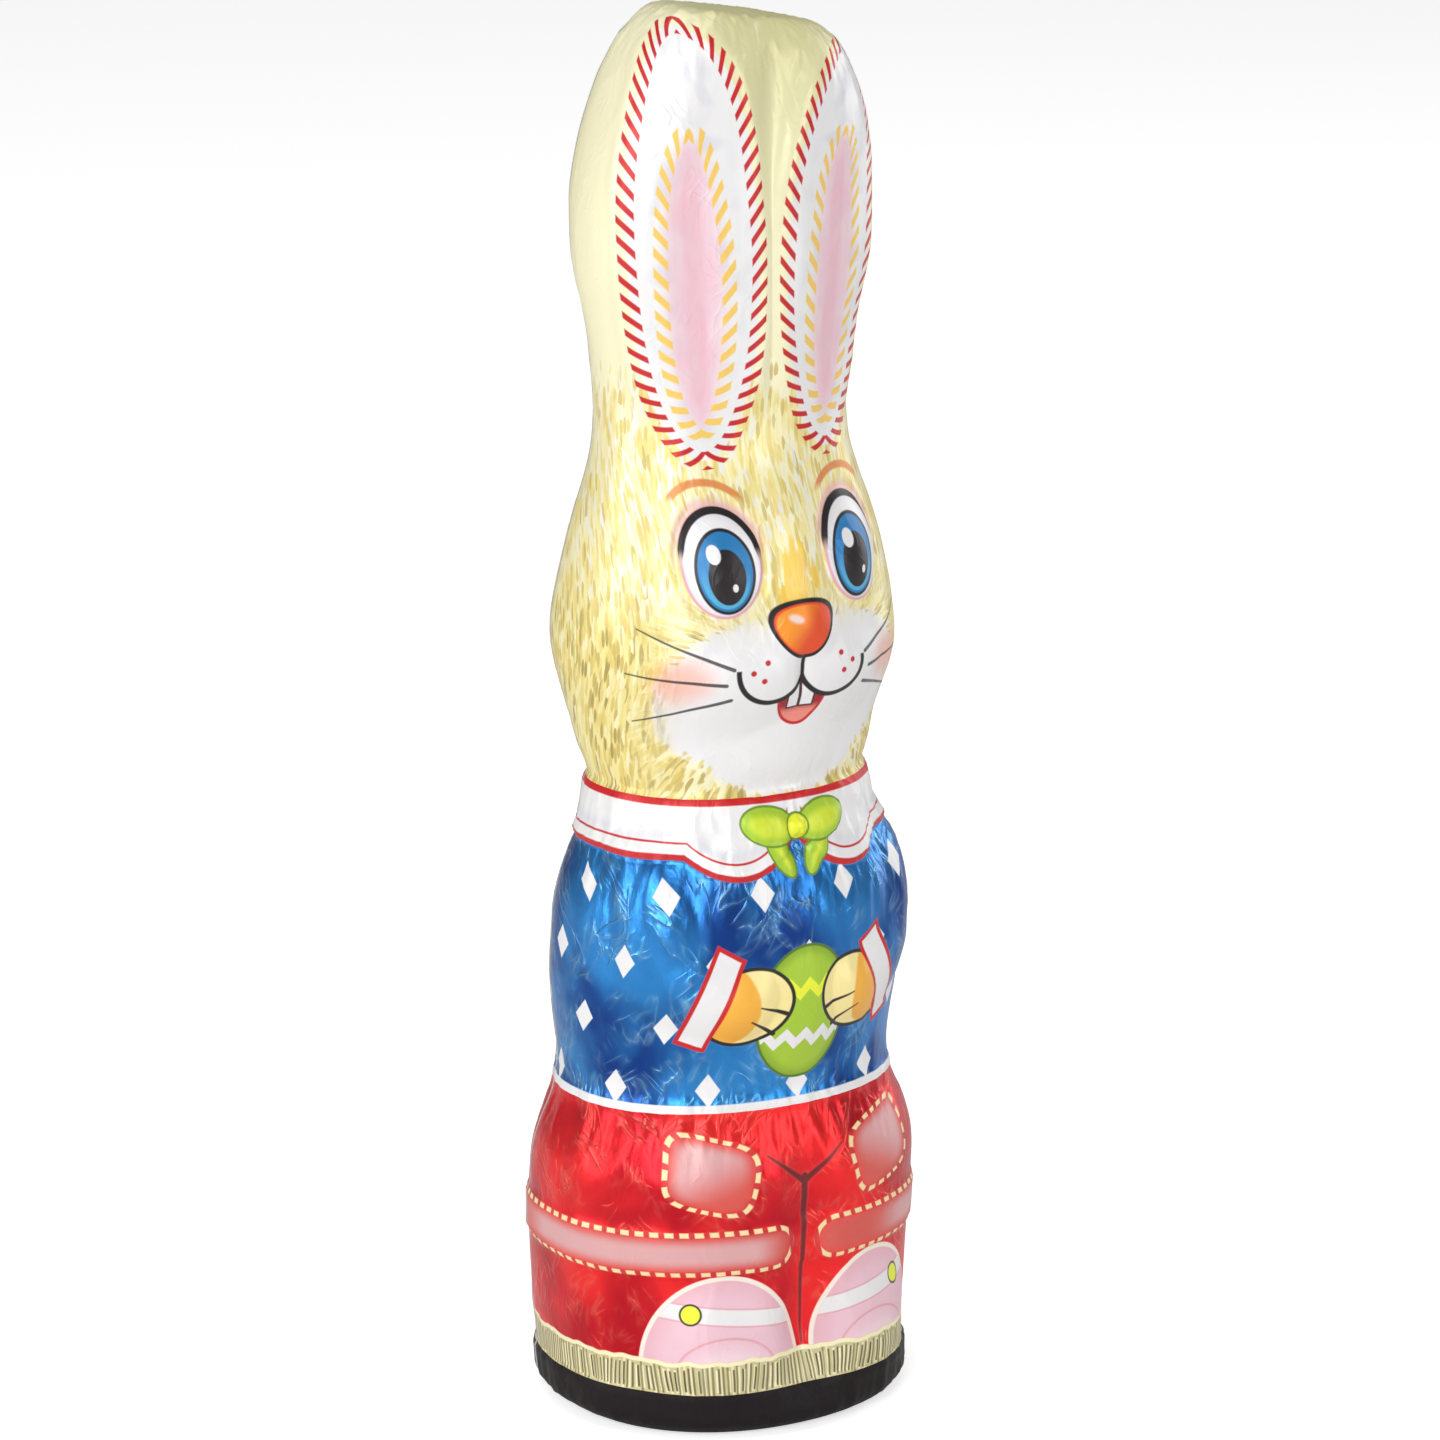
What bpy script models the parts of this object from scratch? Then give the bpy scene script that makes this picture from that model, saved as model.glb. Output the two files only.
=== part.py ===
"""A standing rabbit of hollow milk chocolate, shut in its printed foil wrap.

The wrapped figure can't be seen into, so it is one closed solid. The rabbit looks along -Y and
stands on its flat sole at z = 0, with the Z axis up through the middle of the sole. Its surface is
a stack of rings. A ring's width and depth come from the body's levels, and the moulded features
(ears, face, collar, arms, egg, legs, shoes, tail) are then raised or sunk along the wall.

Every size below is in millimetres, and the mesh is made in metres.
"""

import bmesh
import bpy
import numpy as np

MM = 0.001

# The body
HEIGHT = 179.5
DOME_START = 156.5  # above this level the ear block rounds over to its top
DOME_POWER = 1.75
CROWN_FLAT = 0.45  # share of the ears' width that is left flat on top
CROWN_RISE = 0.3
SOLE_ROUNDING = 3.0
SECTION_POWER = 2.15  # 2 is an ellipse, and more is squarer
CROWN_SQUARENESS = 0.45  # added to that power at the top
TOP_LEAN = 0.175  # the top rises this much for each millimetre towards the rabbit's right ear
TOP_SHIFT = 2.3  # and it leans this far over to the rabbit's left
BLUR = 3.5  # how far the levels below blend into each other

# Level: height, half width, depth in front of the axis, depth behind the axis
LEVELS = {
    "sole": (0, 23.0, 21.6, 21.8),
    "shoes": (10, 23.9, 20.0, 24.4),
    "shins": (22, 24.8, 20.0, 23.2),
    "thighs": (34, 25.4, 21.3, 20.1),
    "waist": (44, 21.4, 17.3, 17.4),
    "belly": (56, 23.1, 19.3, 17.6),
    "chest": (68, 22.7, 20.8, 15.6),
    "neck": (80, 18.2, 16.2, 12.2),
    "chin": (91, 20.0, 16.1, 16.0),
    "cheeks": (101, 22.3, 19.0, 18.8),
    "brow": (113, 20.6, 17.2, 16.0),
    "ear_roots": (128, 16.7, 11.2, 13.0),
    "lower_ears": (140, 17.6, 12.0, 13.4),
    "middle_ears": (151, 19.8, 12.7, 14.9),
    "upper_ears": (160, 19.5, 12.5, 15.0),
}

# The mesh
COLUMNS = 68
FRONT_CROWDING = 0.3  # columns stand closer on the front, where the face and the arms are
RING_STEP = 2.45
SECTION_SAMPLES = 720

# Where one field of the printed foil ends and the next begins
BASE_TOP = 4.8
WAIST_LINE = 42.5
NECK_LINE = 83.0


def level_curve(column):
    """One column of the levels as a function of height, eased through every level."""
    levels = np.array(list(LEVELS.values()), float)
    heights, values = levels[:, 0], levels[:, column]
    steps = np.diff(heights)
    slopes = np.diff(values) / steps
    tangents = np.zeros(len(heights))
    same_way = slopes[:-1] * slopes[1:] > 0
    sums = np.where(same_way, slopes[:-1] + slopes[1:], 1.0)
    tangents[1:-1] = np.where(same_way, 2 * slopes[:-1] * slopes[1:] / sums, 0.0)

    def at(height):
        height = np.clip(height, heights[0], heights[-1])
        i = np.clip(np.searchsorted(heights, height) - 1, 0, len(steps) - 1)
        t = (height - heights[i]) / steps[i]
        start = (1 + 2 * t) * (1 - t) ** 2 * values[i] + t * (1 - t) ** 2 * steps[i] * tangents[i]
        end = t * t * (3 - 2 * t) * values[i + 1] - t * t * (1 - t) * steps[i] * tangents[i + 1]
        return start + end

    return lambda height: sum(at(height + shift * BLUR) for shift in (-1, -0.5, 0, 0.5, 1)) / 5


HALF_WIDTH = level_curve(1)
FRONT_DEPTH = level_curve(2)
BACK_DEPTH = level_curve(3)


def ring_heights():
    """(height, how much the dome narrows the ring, how far the sole's rounding draws it in)."""
    rings = []
    for turn in np.linspace(0, np.pi / 2, 4):
        rings.append((SOLE_ROUNDING * (1 - np.cos(turn)), 1.0, SOLE_ROUNDING * (1 - np.sin(turn))))
    for height in np.arange(SOLE_ROUNDING + RING_STEP, DOME_START, RING_STEP):
        rings.append((height, 1.0, 0.0))
    for turn in np.linspace(0, np.pi / 2, 12):
        rise = np.sin(turn) ** (2 / DOME_POWER)
        narrow = CROWN_FLAT + (1 - CROWN_FLAT) * np.cos(turn) ** (2 / DOME_POWER)
        rings.append((DOME_START + (HEIGHT - DOME_START) * rise, narrow, 0.0))
    for share in (0.8, 0.4):
        rings.append((HEIGHT + CROWN_RISE * (1 - share**2), CROWN_FLAT * share, 0.0))
    return rings


def section(height, narrow, inset):
    """The ring's outline before its features: samples, arc length from the front, outward normals."""
    turn = np.linspace(-np.pi, np.pi, SECTION_SAMPLES + 1)
    power = SECTION_POWER + CROWN_SQUARENESS * ramp(height, DOME_START - 6, HEIGHT)
    across = np.sign(np.sin(turn)) * np.abs(np.sin(turn)) ** (2 / power)
    along = np.sign(np.cos(turn)) * np.abs(np.cos(turn)) ** (2 / power)
    depth = np.where(along > 0, FRONT_DEPTH(height), BACK_DEPTH(height)) * narrow - inset
    points = np.stack([(HALF_WIDTH(height) * narrow - inset) * across, -depth * along], axis=1)
    arc = np.concatenate([[0], np.cumsum(np.linalg.norm(np.diff(points, axis=0), axis=1))])
    ahead = np.roll(points[:-1], -1, axis=0) - np.roll(points[:-1], 1, axis=0)
    ahead = np.concatenate([ahead, ahead[:1]])
    normals = np.stack([ahead[:, 1], -ahead[:, 0]], axis=1)
    return points, arc - arc[-1] / 2, normals / np.linalg.norm(normals, axis=1, keepdims=True)


def dome(distance):
    """1 in the middle of a feature, easing to 0 at distance 1 and beyond."""
    return np.clip(1 - distance**2, 0, 1) ** 1.5


def ridge(offset, reach):
    return np.exp(-((offset / reach) ** 2))


def ramp(value, start, end):
    t = np.clip((value - start) / (end - start), 0, 1)
    return t * t * (3 - 2 * t)


def oval(s, z, middle, radii, tilt=0.0):
    """Distance from an oval's middle, 1 on its rim. Tilt is in degrees, from upright towards +s."""
    angle = np.radians(tilt)
    s, z = s - middle[0], z - middle[1]
    across, up = s * np.cos(angle) - z * np.sin(angle), s * np.sin(angle) + z * np.cos(angle)
    return np.hypot(across / radii[0], up / radii[1])


def limb(s, z, start, end, start_radius, end_radius):
    """Distance from a tapered limb's middle line, 1 on its rim."""
    run = np.subtract(end, start)
    t = np.clip(((s - start[0]) * run[0] + (z - start[1]) * run[1]) / run.dot(run), 0, 1)
    radius = start_radius + (end_radius - start_radius) * t
    return np.hypot(s - start[0] - t * run[0], z - start[1] - t * run[1]) / radius


def ears(s, z, from_back):
    side = np.abs(s)
    parting = ramp(z, 128, 152)
    hollow = oval(side, z, (10.4, 151.5), (7.6, 21.5), 2)
    rim = oval(side, z, (10.4, 151.0), (9.4, 24.5), 2)
    return (
        -1.2 * ridge(s, 3.0) * parting
        - 1.0 * ridge(from_back, 3.2) * parting
        - 0.8 * dome(hollow)
        + 0.5 * ridge(rim - 1, 0.18) * ramp(z, 128, 136)
    )


def face(s, z):
    side = np.abs(s)
    eye = oval(side, z, (10.4, 113.0), (6.0, 7.4), -6)
    muzzle = np.maximum(
        1.5 * dome(oval(side, z, (5.6, 97.5), (9.0, 8.0))),
        0.9 * dome(oval(s, z, (0, 90.5), (9.0, 6.5))),
    )
    return (
        muzzle
        + 0.7 * dome(oval(side, z, (16.0, 98.0), (9.0, 9.0)))
        + 1.2 * dome(oval(s, z, (0, 104.8), (5.4, 4.8)))
        + 0.6 * dome(limb(s, z, (0, 108), (0, 120), 6.0, 7.0))
        + 0.8 * dome(eye)
    )


def collar(s, z):
    lobe = oval(np.abs(s), z, (9.0, 83.0), (9.4, 10.4))
    shape = np.maximum(ramp(-lobe, -1.08, -0.92), ramp(z, 74.4, 75.8) * ramp(np.abs(s), 8, 10))
    below_chin = ramp(-z, -NECK_LINE - 0.6, -NECK_LINE + 0.6)
    return 0.6 * shape * below_chin - 0.6 * ridge(z - NECK_LINE - 0.8, 2.2)


def arms_and_egg(s, z):
    side = np.abs(s)
    upper_arm = limb(side, z, (21.5, 73.0), (19.5, 61.0), 6.5, 7.0)
    forearm = limb(side, z, (19.5, 61.0), (12.0, 57.5), 7.0, 6.0)
    paw = oval(side, z, (8.0, 56.8), (6.6, 6.0), 20)
    egg = oval(s, z, (0, 55.5), (8.6, 10.6))
    sleeve = 1.2 * dome(np.minimum(upper_arm, forearm))
    return np.maximum(sleeve, np.maximum(1.8 * dome(paw), 1.4 * dome(egg)))


def legs(s, z, from_back):
    side = np.abs(s)
    between = ramp(z, 6, 14) * ramp(-z, -41, -32)
    turn_up = ramp(z, 20.4, 23.0) * ramp(-z, -29.4, -26.8)
    shoe = oval(side, z, (12.0, 9.0), (12.0, 14.0))
    return (
        -1.3 * ridge(s, 3.2) * between
        - 1.1 * ridge(from_back, 3.4) * between
        + 0.4 * turn_up
        + 1.6 * dome(shoe) * ramp(z, 2, 9)
    )


def tail(z, from_back):
    return 2.6 * dome(oval(from_back, z, (0, 33.0), (7.0, 7.0)))


def base_band(z):
    """The foil stands out a little round the sole."""
    return 0.5 * ramp(-z, -BASE_TOP - 0.5, -BASE_TOP + 0.5)


def relief(s, z, half_round):
    """How far the wall stands out at arc length s from the front and at height z."""
    from_back = half_round - np.abs(s)
    return (
        ears(s, z, from_back)
        + face(s, z)
        + collar(s, z)
        + arms_and_egg(s, z)
        + legs(s, z, from_back)
        + tail(z, from_back)
        + base_band(z)
    )


def columns():
    """Shares of the way round, from -1 at the back through 0 at the front."""
    even = np.linspace(-1, 1, COLUMNS, endpoint=False)
    return even - FRONT_CROWDING * np.sin(np.pi * even) / np.pi


def ring_points(height, narrow, inset):
    points, arc, normals = section(height, narrow, inset)
    half_round = arc[-1]
    wanted = columns() * half_round
    place = np.stack([np.interp(wanted, arc, points[:, i]) for i in (0, 1)], axis=1)
    normal = np.stack([np.interp(wanted, arc, normals[:, i]) for i in (0, 1)], axis=1)
    above_sole = ramp(height, 0, SOLE_ROUNDING)
    out = relief(wanted, np.full(COLUMNS, height), half_round) * narrow * above_sole
    place = place + normal * out[:, None]
    crown = ramp(height, DOME_START, HEIGHT)
    place[:, 0] += TOP_SHIFT * crown
    lean = -TOP_LEAN * place[:, 0] * crown
    return np.column_stack([place, height + lean])


def foil_material(name, color, roughness, metallic):
    material = bpy.data.materials.new(name)
    material.use_nodes = True
    shader = material.node_tree.nodes["Principled BSDF"]
    shader.inputs["Base Color"].default_value = (*color, 1)
    shader.inputs["Roughness"].default_value = roughness
    shader.inputs["Metallic"].default_value = metallic
    return material


FIELDS = [
    (BASE_TOP, foil_material("black_foil", (0.010, 0.009, 0.010), 0.35, 0.3)),
    (WAIST_LINE, foil_material("red_foil", (0.60, 0.015, 0.025), 0.30, 0.6)),
    (NECK_LINE, foil_material("blue_foil", (0.015, 0.10, 0.40), 0.30, 0.6)),
    (HEIGHT * 2, foil_material("cream_foil", (0.85, 0.76, 0.42), 0.38, 0.3)),
]


def build_bunny():
    mesh = bmesh.new()
    loops = []
    for ring in ring_heights():
        loops.append([mesh.verts.new(point * MM) for point in ring_points(*ring)])
    for lower, upper in zip(loops, loops[1:]):
        for j in range(COLUMNS):
            k = (j + 1) % COLUMNS
            mesh.faces.new((lower[j], lower[k], upper[k], upper[j]))
    mesh.faces.new(reversed(loops[0]))
    top = sum((vertex.co for vertex in loops[-1]), start=loops[-1][0].co * 0) / COLUMNS
    top.z += 0.02 * MM
    crown = mesh.verts.new(top)
    for j in range(COLUMNS):
        mesh.faces.new((loops[-1][j], loops[-1][(j + 1) % COLUMNS], crown))
    bmesh.ops.recalc_face_normals(mesh, faces=mesh.faces)
    for face_ in mesh.faces:
        height = face_.calc_center_median().z / MM
        face_.material_index = next(i for i, (top_of, _) in enumerate(FIELDS) if height < top_of)
    data = bpy.data.meshes.new("foil_bunny")
    mesh.to_mesh(data)
    mesh.free()
    for _, material in FIELDS:
        data.materials.append(material)
    data.shade_smooth()
    data.set_sharp_from_angle(angle=np.radians(50))
    bunny = bpy.data.objects.new("foil_bunny", data)
    bpy.context.scene.collection.objects.link(bunny)
    return bunny


def main():
    for old in list(bpy.data.objects):
        bpy.data.objects.remove(old)
    build_bunny()


main()
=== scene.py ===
"""The printed foil of a standing chocolate rabbit, shown on a plain pale floor.

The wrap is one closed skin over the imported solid. Its rings follow the same body levels as the
solid, the moulded forms (ears, face, collar, arms, egg, legs, shoes, tail) are raised or sunk along
it, and Geometry Nodes then press the foil's dents, creases and gathers into it. The marks of the
print are placed by the same named shapes as the moulded forms, so that colour and form agree.

Sizes are in millimetres until a mesh is made, which is in metres. On the wrap, "round" is the
distance round from the middle of the front, towards the rabbit's left, and "up" is the height,
which runs on over the crown as the distance along the foil.
"""

import math

import bpy
import numpy as np
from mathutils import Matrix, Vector


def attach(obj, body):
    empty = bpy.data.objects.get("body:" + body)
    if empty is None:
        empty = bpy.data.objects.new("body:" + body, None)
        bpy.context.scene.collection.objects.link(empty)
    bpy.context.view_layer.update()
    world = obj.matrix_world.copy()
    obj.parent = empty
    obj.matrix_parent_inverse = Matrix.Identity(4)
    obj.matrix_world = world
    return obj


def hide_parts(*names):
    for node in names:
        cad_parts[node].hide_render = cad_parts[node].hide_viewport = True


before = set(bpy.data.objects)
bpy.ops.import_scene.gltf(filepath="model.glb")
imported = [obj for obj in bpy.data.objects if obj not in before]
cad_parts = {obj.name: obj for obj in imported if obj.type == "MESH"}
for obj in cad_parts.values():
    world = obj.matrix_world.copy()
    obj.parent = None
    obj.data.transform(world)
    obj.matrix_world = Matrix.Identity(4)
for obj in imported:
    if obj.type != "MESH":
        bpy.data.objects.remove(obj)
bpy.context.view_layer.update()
MM = 0.001

# The body, as in the solid
HEIGHT = 179.5
DOME_START = 156.5
DOME_POWER = 1.75
CROWN_FLAT = 0.45  # share of the ears' width that is left flat on top
CROWN_RISE = 0.3
SOLE_ROUNDING = 3.0
SECTION_POWER = 2.15
CROWN_SQUARENESS = 0.45
TOP_LEAN = 0.175  # the top rises this much for each millimetre towards the rabbit's right ear
TOP_SHIFT = 2.3  # and it leans this far over to the rabbit's left
BLUR = 3.5

# Level: height, half width, depth in front of the axis, depth behind the axis
LEVELS = {
    "sole": (0, 23.0, 21.6, 21.8),
    "shoes": (10, 23.9, 20.0, 24.4),
    "shins": (22, 24.8, 20.0, 23.2),
    "thighs": (34, 25.4, 21.3, 20.1),
    "waist": (44, 21.4, 17.3, 17.4),
    "belly": (56, 23.1, 19.3, 17.6),
    "chest": (68, 22.7, 20.8, 15.6),
    "neck": (80, 18.2, 16.2, 12.2),
    "chin": (91, 20.0, 16.1, 16.0),
    "cheeks": (101, 22.3, 19.0, 18.8),
    "brow": (113, 20.6, 17.2, 16.0),
    "ear_roots": (128, 16.7, 11.2, 13.0),
    "lower_ears": (140, 17.6, 12.0, 13.4),
    "middle_ears": (151, 19.8, 12.7, 14.9),
    "upper_ears": (160, 19.5, 12.5, 15.0),
}

# The wrap's mesh
COLUMNS = 300
FRONT_CROWDING = 0.3
RING_STEP = 0.62
DOME_RINGS = 44
CROWN_RINGS = 12
UNDERSIDE_RINGS = 10
UNDERSIDE_RISE = 0.35
ROUNDING_RINGS = 8
SECTION_SAMPLES = 1440
POLE_RISE = 0.02
BAKE_MARGIN = 0.002  # share of the bake's map left free at its edges

# Bands of the print
BASE_TOP = 6.0
GRASS_TOP = 10.6
TURN_UP = (21.8, 27.8)
WAIST_LINE = 42.5
HEM_WIDTH = 1.15
NECK_LINE = 83.0
UNDERSIDE_TOP = 0.01  # the underside lies at height 0 on the print's map
SEAM_SHARE = 0.63  # where the back foil laps over the front one, as a share of half the way round
SEAM_WAVES = ((0.006, 0.11, 0.0), (0.003, 0.43, 1.0))  # reach in shares, radians a millimetre, start
INK_EDGE = 0.09  # how softly one ink meets the next
OPAQUE_METAL = 0.12  # how metallic the foil looks under opaque print
PAST_ALL = 99.0  # farther than any mark reaches

# Foil: the height below which it lies, laid in this order
INK_TOPS = {
    "Cream": 400.0,
    "Blue": NECK_LINE,
    "Red": WAIST_LINE,
    "Black": BASE_TOP,
    "Bare": UNDERSIDE_TOP,
}

# The relief that is pressed into the foil, and where the foil is gathered
DENT_DEPTH = 0.38
CREASE_DEPTH = 0.10
GATHER_DEPTH = 0.30
NECK_GATHERS = (77.0, 14.0)  # their middle, and how far they reach from it
WAIST_GATHERS = (42.0, 11.0)
CROWN_GATHERS = (168.0, 179.0)  # where they begin, and where they are deepest
BASE_GATHERS = (9.0, 1.0)


class Oval:
    """A mark on the wrap: its middle (round, up), its radii and its tilt in degrees, outward."""

    def __init__(self, middle, radii, tilt=0.0):
        self.middle, self.radii, self.tilt = middle, radii, math.radians(tilt)

    def grown(self, by):
        radii = (self.radii[0] + by, self.radii[1] + by)
        return Oval(self.middle, radii, math.degrees(self.tilt))

    def moulded(self, around, up):
        """Distance from the middle in arrays, 1 on the rim."""
        x, y = around - self.middle[0], up - self.middle[1]
        across = x * math.cos(self.tilt) - y * math.sin(self.tilt)
        along = x * math.sin(self.tilt) + y * math.cos(self.tilt)
        return np.hypot(across / self.radii[0], along / self.radii[1])

    def printed(self, web, point):
        """Millimetres outside the rim, as a signal. Inside is negative."""
        local = web.seen_from(point, self.middle, -self.tilt, self.radii)
        reach = web.length(local)
        slope = web.length(web.times(local, (1 / self.radii[0], 1 / self.radii[1], 1)))
        return reach * (reach - 1) / (slope + 0.0001)

    def bristles(self, web, point, pitch, width, length):
        """Millimetres outside a ring of short strokes that slant up and outward across the rim."""
        local = web.seen_from(point, self.middle, -self.tilt, self.radii)
        x, y, _ = web.parts(local)
        reach = web.length(local)
        side, end = abs(x) / reach, y / reach
        rim = self.printed(web, point)
        along = end * self.radii[1] + (1 - side) * web.math("SIGN", y) * self.radii[0]
        along = along + side * end * rim * (self.radii[1] / self.radii[0]) - rim * 1.1
        bar = abs(web.repeat(along, pitch)) * 0.67
        return web.most(bar - width / 2, abs(rim) - length / 2)


# The shapes that the moulding and the print share. Where a shape comes in pairs, it is given for
# the rabbit's left side.
EAR_FACE = Oval((10.8, 152.0), (8.6, 26.5), 4)
EAR_HEART = Oval((10.6, 147.5), (3.9, 18.0), 4)
EYE = Oval((9.8, 113.4), (5.0, 6.4), -4)
IRIS = Oval((9.5, 112.6), (3.6, 5.0), -3)
PUPIL = Oval((9.4, 112.0), (2.3, 3.4), -3)
NOSE = Oval((0, 104.9), (4.1, 3.5))
MUZZLE = Oval((5.6, 97.5), (9.0, 8.0))
CHIN = Oval((0, 90.5), (9.0, 6.5))
CHEEK = Oval((15.5, 98.0), (9.0, 9.0))
COLLAR_LOBE = Oval((8.6, 84.0), (9.6, 10.6), 8)
BOW_LOOP = Oval((3.7, 79.4), (3.6, 2.4), -14)
BOW_TAIL = Oval((2.5, 75.6), (1.3, 3.0), 28)
BOW_KNOT = Oval((0, 79.0), (1.5, 1.6))
PAW = Oval((8.0, 56.8), (6.0, 5.0), 20)
EGG = Oval((0, 55.3), (6.6, 9.0))
SHOE = Oval((11.6, 9.4), (10.4, 12.0), -3)
TAIL = Oval((0, 33.0), (7.0, 7.0))
SHOULDER, ELBOW, WRIST = (21.5, 73.0), (19.5, 61.0), (12.0, 57.5)
SLEEVE_RADII = (6.0, 6.4, 5.6)

# Marks that are only printed, on the same terms
WHITE_CHEEK = Oval((6.5, 97.0), (13.0, 9.6), 12)
WHITE_CHIN = Oval((0, 91.5), (13.0, 9.0))
AMBER_BLAZE = Oval((0, 111.0), (2.6, 5.0))
BLUSH = Oval((15.6, 99.0), (5.0, 4.0))
FAN_MIDDLE = (3.0, 101.0)
FAN_RADIUS = 17.0  # the cheek strokes have their full width this far out
BROW = Oval((10.2, 118.6), (5.2, 4.4))
EYE_SHINES = (((-1.2, 2.2), (0.85, 1.15)), ((0.9, -1.9), (0.35, 0.5)))  # from the iris, radii
NOSE_SHINE = Oval((-1.4, 106.4), (0.9, 0.5), 20)
SMILE = Oval((4.3, 100.2), (4.5, 4.3))
MOUTH = Oval((0, 96.4), (3.2, 4.0))
WHISKERS = (
    ((9.4, 100.6), (21.5, 105.4)),
    ((10.2, 98.6), (23.0, 99.6)),
    ((9.4, 96.6), (21.0, 93.2)),
)
FRECKLES = ((5.2, 101.2), (7.0, 100.0), (5.6, 98.9))
COLLAR_BAND = (10.0, 76.0)  # from this far round, and from this height
PAW_SHADE = Oval((11.4, 57.6), (4.6, 6.0), 20)
FINGER_LINES = (((2.9, 55.6), (6.6, 57.0)), ((4.3, 52.9), (7.6, 55.1)))
CUFF_MIDDLE = (12.6, 58.0)
DIAMOND_PITCH = (12.0, 8.6)
POCKET_MIDDLE = (13.2, 35.0)
POCKET_TILT = 14
POCKET_HALF_SIZE = (6.2, 4.8)
POCKET_STITCH_RADIUS = 5.8
POCKET_STITCHES = 18
TOE = Oval((11.0, 8.6), (6.4, 5.0))
BUCKLE = Oval((15.6, 16.8), (1.3, 1.3))


def level_curve(column):
    """One column of the levels as a function of height, eased through every level."""
    levels = np.array(list(LEVELS.values()), float)
    heights, values = levels[:, 0], levels[:, column]
    steps = np.diff(heights)
    slopes = np.diff(values) / steps
    tangents = np.zeros(len(heights))
    same_way = slopes[:-1] * slopes[1:] > 0
    sums = np.where(same_way, slopes[:-1] + slopes[1:], 1.0)
    tangents[1:-1] = np.where(same_way, 2 * slopes[:-1] * slopes[1:] / sums, 0.0)

    def at(height):
        height = np.clip(height, heights[0], heights[-1])
        i = np.clip(np.searchsorted(heights, height) - 1, 0, len(steps) - 1)
        t = (height - heights[i]) / steps[i]
        start = (1 + 2 * t) * (1 - t) ** 2 * values[i] + t * (1 - t) ** 2 * steps[i] * tangents[i]
        end = t * t * (3 - 2 * t) * values[i + 1] - t * t * (1 - t) * steps[i] * tangents[i + 1]
        return start + end

    return lambda height: sum(at(height + shift * BLUR) for shift in (-1, -0.5, 0, 0.5, 1)) / 5


HALF_WIDTH = level_curve(1)
FRONT_DEPTH = level_curve(2)
BACK_DEPTH = level_curve(3)


def dome(distance):
    """1 in the middle of a form, easing to 0 at distance 1 and beyond."""
    return np.clip(1 - distance**2, 0, 1) ** 1.5


def ridge(offset, reach):
    return np.exp(-((offset / reach) ** 2))


def ramp(value, start, end):
    t = np.clip((value - start) / (end - start), 0, 1)
    return t * t * (3 - 2 * t)


def limb(around, up, start, end, start_radius, end_radius):
    """Distance from a tapered limb's middle line, 1 on its rim."""
    run = np.subtract(end, start)
    t = np.clip(((around - start[0]) * run[0] + (up - start[1]) * run[1]) / run.dot(run), 0, 1)
    radius = start_radius + (end_radius - start_radius) * t
    return np.hypot(around - start[0] - t * run[0], up - start[1] - t * run[1]) / radius


def mould_ears(side, up, from_back):
    parting = ramp(up, 128, 152)
    rim = EAR_FACE.grown(1.2).moulded(side, up)
    return (
        -1.2 * ridge(side, 3.0) * parting
        - 1.0 * ridge(from_back, 3.2) * parting
        - 0.8 * dome(EAR_FACE.moulded(side, up))
        - 0.35 * dome(EAR_HEART.moulded(side, up))
        + 0.5 * ridge(rim - 1, 0.14) * ramp(up, 128, 136)
    )


def mould_face(side, up):
    eye = EYE.moulded(side, up)
    muzzle = np.maximum(
        1.5 * dome(MUZZLE.moulded(side, up)), 0.9 * dome(CHIN.moulded(side, up))
    )
    return (
        muzzle
        + 0.7 * dome(CHEEK.moulded(side, up))
        + 1.2 * dome(NOSE.grown(1.3).moulded(side, up))
        + 0.6 * dome(limb(side, up, (0, 108), (0, 120), 6.0, 7.0))
        + 0.8 * dome(EYE.grown(1.0).moulded(side, up))
        + 0.25 * dome(IRIS.moulded(side, up))
        - 0.3 * ridge(eye - 1.12, 0.10)
        - 0.45 * ridge(side, 0.9) * ramp(up, 96, 98) * ramp(-up, -102, -101)
    )


def mould_collar(side, up):
    lobe = COLLAR_LOBE.moulded(side, up)
    shape = np.maximum(ramp(-lobe, -1.03, -0.97), ramp(up, 75.6, 76.2) * ramp(side, 9, 11))
    below_chin = ramp(-up, -NECK_LINE - 0.4, -NECK_LINE + 0.4)
    bow = np.maximum(
        0.9 * dome(BOW_LOOP.moulded(side, up)) ** 0.6, 0.6 * dome(BOW_TAIL.moulded(side, up)) ** 0.6
    )
    bow = np.maximum(bow, 1.2 * dome(BOW_KNOT.moulded(side, up)) ** 0.6)
    return 0.6 * shape * below_chin + bow - 0.6 * ridge(up - NECK_LINE - 0.8, 2.2)


def mould_arms(side, up):
    upper_arm = limb(side, up, SHOULDER, ELBOW, SLEEVE_RADII[0], SLEEVE_RADII[1])
    forearm = limb(side, up, ELBOW, WRIST, SLEEVE_RADII[1], SLEEVE_RADII[2])
    sleeve = 1.2 * dome(np.minimum(upper_arm, forearm))
    paw = 1.8 * dome(PAW.moulded(side, up)) ** 0.8
    egg = 1.4 * dome(EGG.moulded(side, up)) ** 0.8
    return np.maximum(sleeve, np.maximum(paw, egg))


def mould_legs(side, up, from_back):
    between = ramp(up, 6, 14) * ramp(-up, -41, -32)
    turn_up = ramp(up, TURN_UP[0] - 0.4, TURN_UP[0] + 0.4)
    turn_up = turn_up * ramp(-up, -TURN_UP[1] - 0.4, -TURN_UP[1] + 0.4)
    return (
        -1.3 * ridge(side, 3.2) * between
        - 1.1 * ridge(from_back, 3.4) * between
        + 0.4 * turn_up
        + 1.6 * dome(SHOE.grown(1.0).moulded(side, up)) * ramp(up, 2, 9)
        + 2.6 * dome(TAIL.moulded(from_back, up))
    )


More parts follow.
